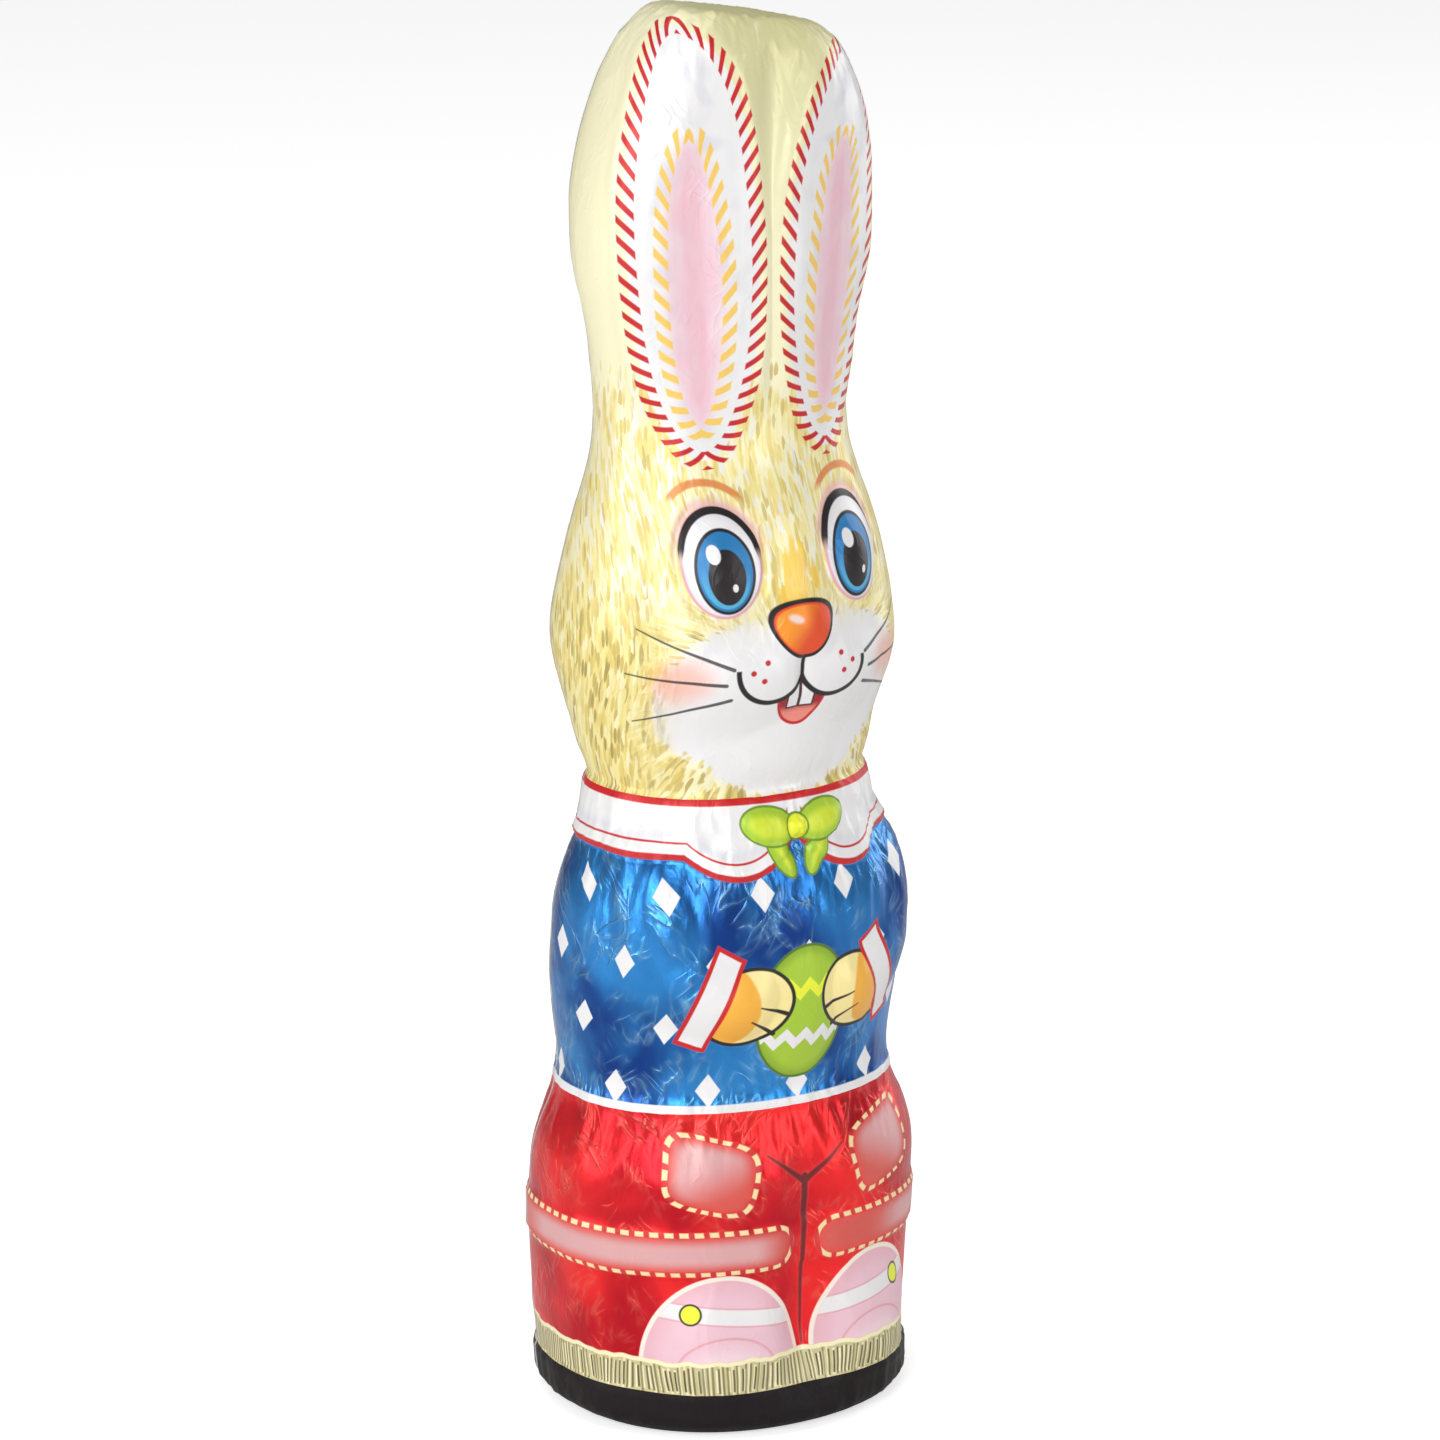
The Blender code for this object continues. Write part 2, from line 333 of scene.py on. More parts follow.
def mould_bands(up):
    """The hem at the waist and the band round the sole."""
    hem = ridge(up - WAIST_LINE - HEM_WIDTH / 2, 0.8)
    return 0.25 * hem + 0.5 * ramp(-up, -BASE_TOP - 0.5, -BASE_TOP + 0.5)


def mould_seam(share, up):
    """The back foil lies over the front foil in a low step with a wandering edge."""
    wander = sum(reach * np.sin(up * pace + start) for reach, pace, start in SEAM_WAVES)
    return 0.14 * ramp(np.abs(share) - SEAM_SHARE - wander, -0.002, 0.004)


def moulding(around, up, share, half_round):
    """How far the foil stands out from the plain body, in millimetres."""
    side = np.abs(around)
    from_back = half_round - side
    return (
        mould_ears(side, up, from_back)
        + mould_face(side, up)
        + mould_collar(side, up)
        + mould_arms(side, up)
        + mould_legs(side, up, from_back)
        + mould_bands(up)
        + mould_seam(share, up)
    )


def rings():
    """From the underside up: height, share of the full section, inset, distance up the foil."""
    made = []
    for share in np.linspace(0.25, 1, UNDERSIDE_RINGS, endpoint=False):
        rise = UNDERSIDE_RISE * (1 - share**6)
        made.append((rise, share, SOLE_ROUNDING * share, 0.0))
    for turn in np.linspace(0, np.pi / 2, ROUNDING_RINGS):
        height = SOLE_ROUNDING * (1 - np.cos(turn))
        made.append((height, 1.0, SOLE_ROUNDING * (1 - np.sin(turn)), height))
    for height in np.arange(SOLE_ROUNDING + RING_STEP, DOME_START, RING_STEP):
        made.append((height, 1.0, 0.0, height))
    up, last = DOME_START, (DOME_START, 1.0)
    mean_radius = (HALF_WIDTH(DOME_START) + FRONT_DEPTH(DOME_START)) / 2
    turns = np.linspace(0, np.pi / 2, DOME_RINGS)
    heights = DOME_START + (HEIGHT - DOME_START) * np.sin(turns) ** (2 / DOME_POWER)
    shares = CROWN_FLAT + (1 - CROWN_FLAT) * np.cos(turns) ** (2 / DOME_POWER)
    inward = np.linspace(1, 0, CROWN_RINGS + 1)[1:-1]
    heights = np.append(heights, HEIGHT + CROWN_RISE * (1 - inward**2))
    for height, share in zip(heights, np.append(shares, CROWN_FLAT * inward)):
        up += np.hypot(height - last[0], (share - last[1]) * mean_radius)
        last = (height, share)
        made.append((height, share, 0.0, up))
    return made


def section(height, share, inset):
    """The plain outline: samples, distance round from the front, outward normals."""
    turn = np.linspace(-np.pi, np.pi, SECTION_SAMPLES + 1)
    power = SECTION_POWER + CROWN_SQUARENESS * ramp(height, DOME_START - 6, HEIGHT)
    across = np.sign(np.sin(turn)) * np.abs(np.sin(turn)) ** (2 / power)
    along = np.sign(np.cos(turn)) * np.abs(np.cos(turn)) ** (2 / power)
    depth = np.where(along > 0, FRONT_DEPTH(height), BACK_DEPTH(height)) * share - inset
    points = np.stack([(HALF_WIDTH(height) * share - inset) * across, -depth * along], axis=1)
    arc = np.concatenate([[0], np.cumsum(np.linalg.norm(np.diff(points, axis=0), axis=1))])
    ahead = np.roll(points[:-1], -1, axis=0) - np.roll(points[:-1], 1, axis=0)
    ahead = np.concatenate([ahead, ahead[:1]])
    normals = np.stack([ahead[:, 1], -ahead[:, 0]], axis=1)
    return points, arc - arc[-1] / 2, normals / np.linalg.norm(normals, axis=1, keepdims=True)


def wrap_skin():
    """The wrap before its creases, as a mesh with the print's own map and a map for the back."""
    even = np.linspace(-1, 1, COLUMNS + 1)
    shares = even - FRONT_CROWDING * np.sin(np.pi * even) / np.pi
    points, around, rear, heights_up = [], [], [], []
    for height, narrow, inset, up in rings():
        outline, arc, normals = section(height, narrow, inset)
        wanted = shares * arc[-1]
        place = np.stack([np.interp(wanted, arc, outline[:, i]) for i in (0, 1)], axis=1)
        normal = np.stack([np.interp(wanted, arc, normals[:, i]) for i in (0, 1)], axis=1)
        out = moulding(wanted, np.full(len(wanted), up), shares, arc[-1])
        out = out * narrow * ramp(up, 0, SOLE_ROUNDING)
        place = place + normal * out[:, None]
        crown = ramp(height, DOME_START, HEIGHT)
        place[:, 0] += TOP_SHIFT * crown
        lean = -TOP_LEAN * place[:, 0] * crown
        points.append(np.column_stack([place, height + lean])[:-1])
        around.append(wanted)
        rear.append(np.where(shares < 0, -1, 1) * (arc[-1] - np.abs(wanted)))
        heights_up.append(up)
    return loft("foil_wrap", points, np.array(around), np.array(rear), shares, heights_up)


def loft(name, points, around, rear, shares, heights_up):
    """Quads between the rings, a pole at each end, and the maps: print, rear and the bake's own."""
    row_count, column_count = len(points), len(points[0])
    flat = np.concatenate(points + [points[0].mean(0)[None], points[-1].mean(0)[None]])
    flat[-2, 2] = UNDERSIDE_RISE
    flat[-1, 2] += POLE_RISE
    faces, corners = [], []
    for i in range(row_count - 1):
        for j in range(column_count):
            k = (j + 1) % column_count
            low, high = i * column_count, (i + 1) * column_count
            faces.append((low + j, low + k, high + k, high + j))
            corners += [(i, j), (i, j + 1), (i + 1, j + 1), (i + 1, j)]
    under, crown = len(flat) - 2, len(flat) - 1
    for j in range(column_count):
        k = (j + 1) % column_count
        faces.append((under, k, j))
        corners += [(0, j), (0, j + 1), (0, j)]
        top = (row_count - 1) * column_count
        faces.append((top + j, top + k, crown))
        corners += [(row_count - 1, j), (row_count - 1, j + 1), (row_count - 1, j)]
    mesh = bpy.data.meshes.new(name)
    mesh.from_pydata(flat * MM, [], faces)
    row, column = np.array(corners).T
    up = np.array(heights_up)
    length = np.concatenate([[0], np.cumsum(np.maximum(np.diff(up), 0.3))])
    bake = np.stack([(shares[column] + 1) / 2, length[row] / length[-1]])
    maps = {
        "print": (around[row, column], up[row]),
        "rear": (rear[row, column], np.abs(shares)[column]),
        "OFBake": BAKE_MARGIN + (1 - 2 * BAKE_MARGIN) * bake,
    }
    for title, (x, y) in maps.items():
        layer = mesh.uv_layers.new(name=title)
        layer.data.foreach_set("uv", np.column_stack([x, y]).astype(np.float32).ravel())
    ring = mesh.attributes.new("ring_up", "FLOAT", "POINT")
    ring.data.foreach_set("value", np.append(np.repeat(up, column_count), [0.0, up[-1]]))
    mesh.shade_smooth()
    piece = bpy.data.objects.new(name, mesh)
    bpy.context.scene.collection.objects.link(piece)
    return piece


class Signal:
    """One output of a node tree. Python's operators on it add Math nodes to its tree."""

    def __init__(self, web, socket):
        self.web, self.socket = web, socket

    def __add__(self, other):
        return self.web.math("ADD", self, other)

    __radd__ = __add__

    def __sub__(self, other):
        return self.web.math("SUBTRACT", self, other)

    def __rsub__(self, other):
        return self.web.math("SUBTRACT", other, self)

    def __mul__(self, other):
        return self.web.math("MULTIPLY", self, other)

    __rmul__ = __mul__

    def __truediv__(self, other):
        return self.web.math("DIVIDE", self, other)

    def __pow__(self, other):
        return self.web.math("POWER", self, other)

    def __neg__(self):
        return self.web.math("MULTIPLY", self, -1.0)

    def __abs__(self):
        return self.web.math("ABSOLUTE", self)


class Web:
    """A node tree that is being built."""

    def __init__(self, tree):
        self.tree = tree

    def node(self, kind, settings, values, output=0):
        """Adds a node, sets it, then gives its sockets numbers, colours, names or other signals."""
        made = self.tree.nodes.new(kind)
        for name, setting in settings.items():
            if name == "stops":
                self.set_stops(made.color_ramp, setting)
            else:
                setattr(made, name, setting)
        for name, value in values.items():
            if isinstance(value, Signal):
                self.tree.links.new(value.socket, made.inputs[name])
            else:
                made.inputs[name].default_value = value
        if output is None:
            return made
        return Signal(self, made.outputs[output])

    @staticmethod
    def set_stops(color_ramp, stops):
        while len(color_ramp.elements) < len(stops):
            color_ramp.elements.new(1.0)
        for element, (place, color) in zip(color_ramp.elements, stops):
            element.position, element.color = place, color

    def math(self, operation, *values):
        return self.node("ShaderNodeMath", {"operation": operation}, dict(enumerate(values)))

    def vectors(self, operation, first, second=(0, 0, 0), output="Vector"):
        settings = {"operation": operation}
        return self.node("ShaderNodeVectorMath", settings, {0: first, 1: second}, output)

    def length(self, vector):
        return self.vectors("LENGTH", vector, output="Value")

    def times(self, vector, factors):
        return self.vectors("MULTIPLY", vector, factors)

    def parts(self, vector):
        split = self.node("ShaderNodeSeparateXYZ", {}, {"Vector": vector}, None)
        return [Signal(self, output) for output in split.outputs]

    def join(self, x, y, z=0.0):
        return self.node("ShaderNodeCombineXYZ", {}, {"X": x, "Y": y, "Z": z})

    def stretch(self, vector, scale, location=(0, 0, 0), turn=0.0):
        values = {"Vector": vector, "Scale": scale, "Location": location}
        values["Rotation"] = (0, 0, math.radians(turn))
        return self.node("ShaderNodeMapping", {}, values)

    def seen_from(self, point, middle, turn, radii=(1, 1)):
        """The point as a mark sees it, from its middle, turned as it is and measured in its radii."""
        values = {"Vector": point, "Location": (*middle, 0), "Rotation": (0, 0, turn)}
        values["Scale"] = (*radii, 1)
        return self.node("ShaderNodeMapping", {"vector_type": "TEXTURE"}, values)

    def noise(self, vector, scale, detail=2.0, roughness=0.5, distortion=0.0):
        values = {"Vector": vector, "Scale": scale, "Detail": detail}
        values.update({"Roughness": roughness, "Distortion": distortion})
        return self.node("ShaderNodeTexNoise", {}, values)

    def rise(self, value, start, end):
        """0 before start, 1 after end, and eased between them."""
        values = {"Value": value, "From Min": start, "From Max": end}
        return self.node("ShaderNodeMapRange", {"interpolation_type": "SMOOTHSTEP"}, values)

    def repeat(self, value, pitch, shift=0.0):
        """Distance from the middle of the repeat that a value lies in."""
        return (self.math("FRACT", value / pitch + shift) - 0.5) * pitch

    def least(self, first, second):
        return self.math("MINIMUM", first, second)

    def most(self, first, second):
        return self.math("MAXIMUM", first, second)

    def crest(self, noise, sharpness):
        """Noise folded into sharp crests, which are 1 along their tops."""
        return (1 - abs(noise * 2 - 1)) ** sharpness

    def blend(self, base, paint, mask):
        values = {0: mask, 6: base, 7: paint}
        settings = {"data_type": "RGBA", "clamp_factor": True}
        return self.node("ShaderNodeMix", settings, values, 2)

    def tones(self, value, stops):
        return self.node("ShaderNodeValToRGB", {"stops": stops}, {0: value})

    def inside(self, distance, edge=INK_EDGE):
        """1 where a distance in millimetres is below 0."""
        return self.rise(distance, edge, -edge)


class Foil(Web):
    """One foil material: the colour printed so far, and what its marks are placed by.

    "Whole" is the point on the print's own map, and "point" the same one with the rabbit's right
    side folded over its left. "Placed" is the distance round from the middle of whichever foil,
    front or back, the point lies on, and "share" the share of half the way round.
    """

    def __init__(self, name, color):
        self.material = bpy.data.materials.new(name)
        self.material.use_nodes = True
        super().__init__(self.material.node_tree)
        self.tree.nodes.clear()
        self.color = color
        self.whole = self.node("ShaderNodeUVMap", {"uv_map": "print"}, {})
        self.around, self.up, _ = self.parts(self.whole)
        self.side = abs(self.around)
        self.point = self.join(self.side, self.up)
        rear = self.node("ShaderNodeUVMap", {"uv_map": "rear"}, {})
        rear_round, self.share, _ = self.parts(rear)
        behind = self.math("GREATER_THAN", self.share, SEAM_SHARE)
        self.placed = self.around + (rear_round - self.around) * behind
        self.solid = self.node("ShaderNodeTexCoord", {}, {}, "Object")

    def lay(self, paint, mask):
        """Lays an ink over the colour so far, as thick as the mask says."""
        self.color = self.blend(self.color, paint, mask)

    def fill(self, paint, distance):
        """Lays an ink where a distance is below 0."""
        self.lay(paint, self.inside(distance))

    def line(self, paint, distance, half_width):
        """Draws a line where a distance is 0."""
        self.fill(paint, abs(distance) - half_width)

    def rim(self, oval, point=None):
        """Millimetres outside an oval, on both sides of the rabbit unless a point is given."""
        return oval.printed(self, self.point if point is None else point)

    def stroke(self, start, end, radius, end_radius):
        """Millimetres outside a straight stroke, on both sides of the rabbit."""
        run = Vector(end) - Vector(start)
        x, y, _ = self.parts(self.seen_from(self.point, start, math.atan2(run.y, run.x)))
        along = self.least(self.most(x, 0.0), run.length)
        width = radius + along * ((end_radius - radius) / run.length)
        return self.length(self.join(x - along, y)) - width


def ink(red, green, blue):
    """A printed colour, given as it looks on screen, as a linear one for a shader."""
    seen = (red, green, blue)
    light = [c / 12.92 if c <= 0.04045 else ((c + 0.055) / 1.055) ** 2.4 for c in seen]
    return (*light, 1.0)


CREAM = ink(0.965, 0.945, 0.79)
PALE_GOLD = ink(0.95, 0.89, 0.58)
STRAW = ink(0.90, 0.81, 0.46)
KHAKI = ink(0.80, 0.71, 0.38)
DARK_KHAKI = ink(0.64, 0.56, 0.28)
# khaki of the crown, partly painted shade
CROWN_SHADE_KHAKI = ink(0.86, 0.84, 0.62)
AMBER = ink(0.96, 0.78, 0.25)
WHITE = ink(0.925, 0.92, 0.92)
# grey-white that paints shade on the white print: ear faces, eye whites and collar
SHADE_WHITE = ink(0.86, 0.86, 0.89)
SHELL_PINK = ink(0.93, 0.77, 0.82)
ROSE = ink(0.90, 0.66, 0.70)
CORAL = ink(0.97, 0.62, 0.50)
SCARLET = ink(0.80, 0.08, 0.10)
LINE_RED = ink(0.78, 0.10, 0.12)
ORANGE_RED = ink(0.90, 0.30, 0.12)
NOSE_ORANGE = ink(0.97, 0.62, 0.16)
MOUTH_RED = ink(0.62, 0.10, 0.12)
TONGUE_PINK = ink(0.94, 0.55, 0.50)
BROW_BROWN = ink(0.86, 0.50, 0.22)
EYE_BLUE = ink(0.13, 0.48, 0.72)
EYE_GLOW = ink(0.35, 0.72, 0.86)
DEEP_BLUE = ink(0.07, 0.25, 0.56)
BRIGHT_BLUE = ink(0.20, 0.55, 0.84)
WORN_AND_GLINT_BLUE = ink(0.62, 0.84, 0.95)
DEEP_RED = ink(0.78, 0.02, 0.12)
BRIGHT_RED = ink(1.0, 0.16, 0.17)
WORN_AND_GLINT_RED = ink(1.0, 0.50, 0.42)
CREASE_SHADE_RED = ink(0.22, 0.03, 0.05)
SALMON = ink(0.86, 0.34, 0.30)
DUSKY_PINK = ink(0.87, 0.66, 0.66)
STITCH_CREAM = ink(0.98, 0.88, 0.66)
TOE_HIGHLIGHT_PINK = ink(0.97, 0.86, 0.89)
SHOE_CREAM = ink(0.97, 0.93, 0.88)
LIME = ink(0.66, 0.80, 0.20)
LEMON = ink(0.93, 0.95, 0.20)
BOW_GREEN = ink(0.42, 0.56, 0.12)
EGG_SHADE = ink(0.48, 0.64, 0.12)
EGG_GREEN = ink(0.34, 0.46, 0.08)
PAW_CREAM = ink(0.98, 0.91, 0.62)
PAW_ORANGE = ink(0.96, 0.70, 0.24)
OUTLINE = ink(0.12, 0.09, 0.10)
GRASS = ink(0.80, 0.77, 0.56)
GRASS_DARK = ink(0.33, 0.31, 0.19)
GRASS_CREAM = ink(0.98, 0.94, 0.78)
BLACK = ink(0.115, 0.095, 0.10)
SOFT_BLACK = ink(0.13, 0.11, 0.12)
SILVER = ink(0.72, 0.72, 0.70)
PLEAT_SHADE_GREY = ink(0.40, 0.40, 0.41)
PLEAT_HIGHLIGHT_SILVER = ink(0.90, 0.90, 0.89)
FLOOR_WHITE = ink(0.93, 0.93, 0.93)

BROW_TONES = [(0.0, WHITE), (0.2, CREAM), (0.5, PALE_GOLD), (0.85, STRAW), (1.0, KHAKI)]
CHEEK_TONES = [(0.0, CREAM), (0.3, PALE_GOLD), (0.55, STRAW), (0.8, KHAKI), (1.0, DARK_KHAKI)]


def crease_lines(foil, turn, width, length, seed):
    """Patches of thin folds in the foil that lie side by side along one direction, as a height."""
    point = foil.stretch(foil.whole, (1, 1, 1), (seed, seed, 0), turn)
    lines = foil.noise(foil.stretch(point, (1 / width, 1 / length, 1)), 1.0, 1.0, 0.4, 0.3)
    shown = foil.rise(foil.noise(point, 0.16, 1.0), 0.51, 0.66)
    return foil.crest(lines, 13.0) * shown


def foil_folds(foil):
    """Short sharp folds: upright ones, and ones that slant either way."""
    upright = crease_lines(foil, 8, 1.7, 6.0, 0.0)
    falling = crease_lines(foil, -40, 1.6, 5.0, 31.0)
    return upright + falling + crease_lines(foil, 47, 1.9, 5.4, 57.0)


def finish_foil(foil, folds, metal, roughness, crinkle, gloss=0.1, bend=1.5):
    """The foil's shader. Its finest folds are finer than the mesh, so they are a bump."""
    soft = foil.noise(foil.stretch(foil.solid, (1, 1, 0.5)), 480.0, 3.0, 0.6, 0.4)
    values = {"Strength": crinkle, "Distance": 0.2 * MM, "Height": soft * 0.55 + folds * 0.5}
    values = {
        "Base Color": foil.color,
        "Metallic": metal,
        "Roughness": roughness + (soft - 0.5) * 0.14,
        "Normal": foil.node("ShaderNodeBump", {}, values),
        "IOR": bend,
        "Coat Weight": gloss,
        "Coat Roughness": 0.42,
    }
    shader = foil.node("ShaderNodeBsdfPrincipled", {}, values)
    foil.node("ShaderNodeOutputMaterial", {}, {"Surface": shader}, None)
    return foil.material


def lay_clear_ink(foil, folds, bright, worn_and_glint):
    """Ink that the metal shows through: uneven, and pale along the folds, as worn ink and as painted
    glints on the creases.
    """
    cloudy = foil.noise(foil.stretch(foil.solid, (1, 1, 0.7)), 62.0, 3.0, 0.55, 0.5)
    foil.lay(bright, foil.rise(cloudy, 0.36, 0.64))
    # pale along the folds: worn ink, and painted glints where the creases catch the light
    foil.lay(worn_and_glint, folds * 0.3)
    return foil.color


def finish_clear_foil(foil, folds, plain, metal):
    """Bright metal where only the clear ink lies, and satin where the print is opaque."""
    clear = foil.rise(foil.vectors("DISTANCE", plain, foil.color, "Value"), 0.06, 0.0)
    shine = OPAQUE_METAL + clear * (metal - OPAQUE_METAL)
    return finish_foil(foil, folds, shine, 0.40 - clear * 0.08, 0.3 + clear * 0.6)


def print_seam(foil):
    """The bare cut edge of the back foil."""
    edge = foil.share - SEAM_SHARE
    for reach, pace, start in SEAM_WAVES:
        edge = edge - foil.math("SINE", foil.up * pace + start) * reach
    foil.lay(SILVER, foil.rise(abs(edge), 0.0045, 0.0025) * 0.9)


def brush_strokes(foil, x, y, width, length, seed):
    """Close brush strokes that run along y: a mask, and two values that differ between strokes."""
    point = foil.stretch(foil.join(x, y), (1 / width, 1 / length, 1), (seed, seed * 1.7, 0))
    values = {"Vector": point, "Scale": 1.0, "Randomness": 1.0}
    cells = foil.node("ShaderNodeTexVoronoi", {"voronoi_dimensions": "2D"}, values, None)
    near = Signal(foil, cells.outputs["Distance"])
    tone, reach, _ = foil.parts(Signal(foil, cells.outputs["Color"]))
    return foil.rise(near, 0.54, 0.34), tone, reach


def print_fur(foil):
    """A white muzzle, strokes that fan out over the cheeks, and upright strokes elsewhere."""
    white = foil.least(foil.rim(WHITE_CHEEK), foil.rim(WHITE_CHIN))
    cheek = foil.rise(foil.up, 111.0, 103.0)
    foil.lay(PALE_GOLD, cheek * foil.rise(foil.side, 12.0, 24.0) * 0.8)
    foil.lay(WHITE, foil.rise(white, 0.6, -0.8))
    below_ears = foil.rise(foil.up, 142.0, 124.0)
    x, y = foil.side - FAN_MIDDLE[0], foil.up - FAN_MIDDLE[1]
    fan, out = foil.math("ARCTAN2", y, x) * FAN_RADIUS, foil.length(foil.join(x, y))
    far = foil.rise(foil.side, 14.0, 23.0)
    for width, length, seed in ((1.05, 4.6, 1.0), (0.8, 3.4, 6.0), (0.6, 2.6, 11.0)):
        brush, tone, reach = brush_strokes(foil, foil.placed, foil.up, width, length, seed)
        shown = brush * foil.rise(below_ears - reach * 0.8, 0.0, 0.2) * (1 - cheek)
        foil.lay(foil.tones(tone, BROW_TONES), shown * 0.85)
        foil.lay(foil.tones(tone, CHEEK_TONES), brush * cheek * far * 0.9)
        brush, tone, reach = brush_strokes(foil, fan, out, width, length, seed + 3)
        shown = brush * cheek * (1 - far) * foil.rise(white + reach * 3.4, 2.0, 2.5)
        foil.lay(foil.tones(tone, CHEEK_TONES), shown * 0.9)
    _, _, reach = brush_strokes(foil, foil.placed, foil.up, 0.9, 3.6, 2.0)
    ragged = foil.rim(AMBER_BLAZE) + (reach - 0.5) * 3.0
    foil.lay(AMBER, foil.rise(ragged, 0.7, -0.7) * 0.8)
    foil.lay(CORAL, foil.rise(foil.rim(BLUSH), 0.6, -3.2) * 0.55)


def print_ears(foil):
    """White ear faces with grey painted shade in their hollows, edged with red bristles, and a pink
    middle edged with gold ones.
    """
    face, heart = foil.rim(EAR_FACE), foil.rim(EAR_HEART)
    foil.fill(WHITE, face)
    # painted shade: grey patches deep inside the sunk ear faces
    ear_shade = foil.rise(face, -1.0, -4.5) * foil.rise(foil.noise(foil.point, 0.22, 1.0), 0.46, 0.62)
    foil.lay(SHADE_WHITE, ear_shade * 0.8)
    glow = foil.noise(foil.stretch(foil.point, (1, 0.4, 1)), 0.5, 1.0)
    foil.lay(SHELL_PINK, foil.rise(heart, 1.2, -1.6) * (0.45 + glow * 0.8))
    foil.lay(ROSE, foil.rise(heart, -1.6, -3.8) * 0.35)
    gold = EAR_HEART.grown(0.5).bristles(foil, foil.point, 2.7, 0.85, 1.9)
    foil.lay(AMBER, foil.inside(gold, 0.12) * 0.9)
    foil.fill(LINE_RED, EAR_FACE.bristles(foil, foil.point, 2.5, 0.7, 2.2))


def print_eyes(foil):
    lid, iris = foil.rim(EYE), foil.rim(IRIS)
    foil.lay(ROSE, foil.rise(lid, 2.0, 0.3) * foil.rise(foil.up, 112.0, 118.0) * 0.8)
    foil.fill(WHITE, lid)
    # painted shade: the eye whites turn grey towards their rim
    foil.lay(SHADE_WHITE, foil.rise(lid, -1.4, -0.2) * foil.inside(lid) * 0.7)
    foil.fill(EYE_BLUE, iris)
    foil.lay(EYE_GLOW, foil.inside(iris + 0.5) * foil.rise(foil.up, 113.5, 109.0) * 0.8)
    foil.fill(OUTLINE, foil.rim(PUPIL))
    foil.line(OUTLINE, iris, 0.2)
    for side in (-1, 1):
        for shift, radii in EYE_SHINES:
            middle = (side * IRIS.middle[0] + shift[0], IRIS.middle[1] + shift[1])
            foil.fill(WHITE, foil.rim(Oval(middle, radii), foil.whole))
    upper = foil.rise(foil.up, 112.8, 115.5)
    foil.lay(OUTLINE, foil.inside(abs(lid) - (0.08 + upper * 0.34)) * upper)
    foil.lay(ROSE, foil.inside(abs(lid) - 0.18) * (1 - upper))
    arch = foil.inside(abs(foil.rim(BROW)) - 0.45, 0.15) * foil.rise(foil.up, 120.4, 121.6)
    foil.lay(BROW_BROWN, arch * 0.9)


def print_nose(foil):
    taper = foil.join(foil.side * (1 + (NOSE.middle[1] - foil.up) * 0.10), foil.up)
    nose = foil.rim(NOSE, taper)
    foil.fill(ORANGE_RED, nose)
    shade = foil.rise(foil.around + (foil.up - 105.0) * -0.6, 1.6, -2.6)
    foil.lay(NOSE_ORANGE, foil.inside(nose + 0.5) * shade * 0.85)
    foil.lay(WHITE, foil.inside(foil.rim(NOSE_SHINE, foil.whole), 0.3) * 0.7)
    foil.line(OUTLINE, nose, 0.26)


def print_mouth(foil):
    """A smile of two arcs with an open mouth and two teeth under it, whiskers and freckles."""
    smile = foil.rim(SMILE)
    lip = foil.most(foil.rim(MOUTH), -smile)
    foil.fill(MOUTH_RED, lip)
    foil.lay(TONGUE_PINK, foil.inside(lip) * foil.rise(foil.up, 95.2, 93.8))
    tooth = foil.most(foil.most(abs(foil.side - 0.98) - 0.86, abs(foil.up - 97.0) - 2.3), -smile)
    foil.fill(WHITE, tooth)
    foil.line(OUTLINE, tooth, 0.11)
    foil.line(LINE_RED, lip, 0.2)
    groove = foil.stroke((0, 98.8), (0, 101.4), 0.3, 0.3)
    foil.fill(OUTLINE, foil.least(groove, foil.most(abs(smile) - 0.32, foil.up - 100.4)))
    for start, end in WHISKERS:
        foil.lay(OUTLINE, foil.inside(foil.stroke(start, end, 0.24, 0.09)) * 0.9)
    for middle in FRECKLES:
        foil.fill(LINE_RED, foil.rim(Oval(middle, (0.36, 0.36))))


def cream_foil():
    """Ears and head: nearly opaque cream ink, with khaki towards the crown and the back; between the
    ears and over the crown the khaki is partly painted shade.
    """
    foil = Foil("cream_foil", CREAM)
    foil.lay(PALE_GOLD, foil.rise(foil.side, 24.0, 40.0) * 0.35)
    foil.lay(PALE_GOLD, foil.rise(foil.side, 12.0, 28.0) * foil.rise(foil.up, 138.0, 116.0) * 0.6)
    # khaki ink that also paints shade in the dip between the ears and over the top
    foil.lay(CROWN_SHADE_KHAKI, foil.rise(foil.up, 150.0, 186.0) * foil.rise(foil.side, 14.0, 4.0))
    foil.lay(CROWN_SHADE_KHAKI, foil.rise(foil.up, 178.0, 184.0) * 0.8)
    for print_part in (print_fur, print_ears, print_eyes, print_nose, print_mouth, print_seam):
        print_part(foil)
    metal = 0.10 + foil.noise(foil.solid, 60.0, 2.0) * 0.12
    return finish_foil(foil, foil_folds(foil), metal, 0.39, 0.33)


def print_diamonds(foil):
    """Small white diamonds in staggered rows."""
    pitch, row_height = DIAMOND_PITCH
    row = foil.math("FLOOR", foil.up / row_height + 0.2)
    x = foil.repeat(foil.placed, pitch, row * 0.5)
    foil.fill(WHITE, abs(x) + abs(foil.repeat(foil.up, row_height, 0.2)) * 0.72 - 1.6)


def print_egg(foil):
    """A green egg with two zigzag bands."""
    egg = foil.rim(EGG)
    foil.fill(LIME, egg)
    foil.lay(EGG_SHADE, foil.rise(egg, -1.8, -0.1) * foil.inside(egg) * 0.7)
    zigzag = abs(foil.repeat(foil.side, 2.6, 0.5)) * (2.8 / 2.6)
    for height, paint in ((59.4, LEMON), (52.6, WHITE)):
        foil.lay(paint, foil.inside(egg + 0.3) * foil.inside(abs(foil.up - height + zigzag) - 0.8))
    foil.line(EGG_GREEN, egg, 0.18)


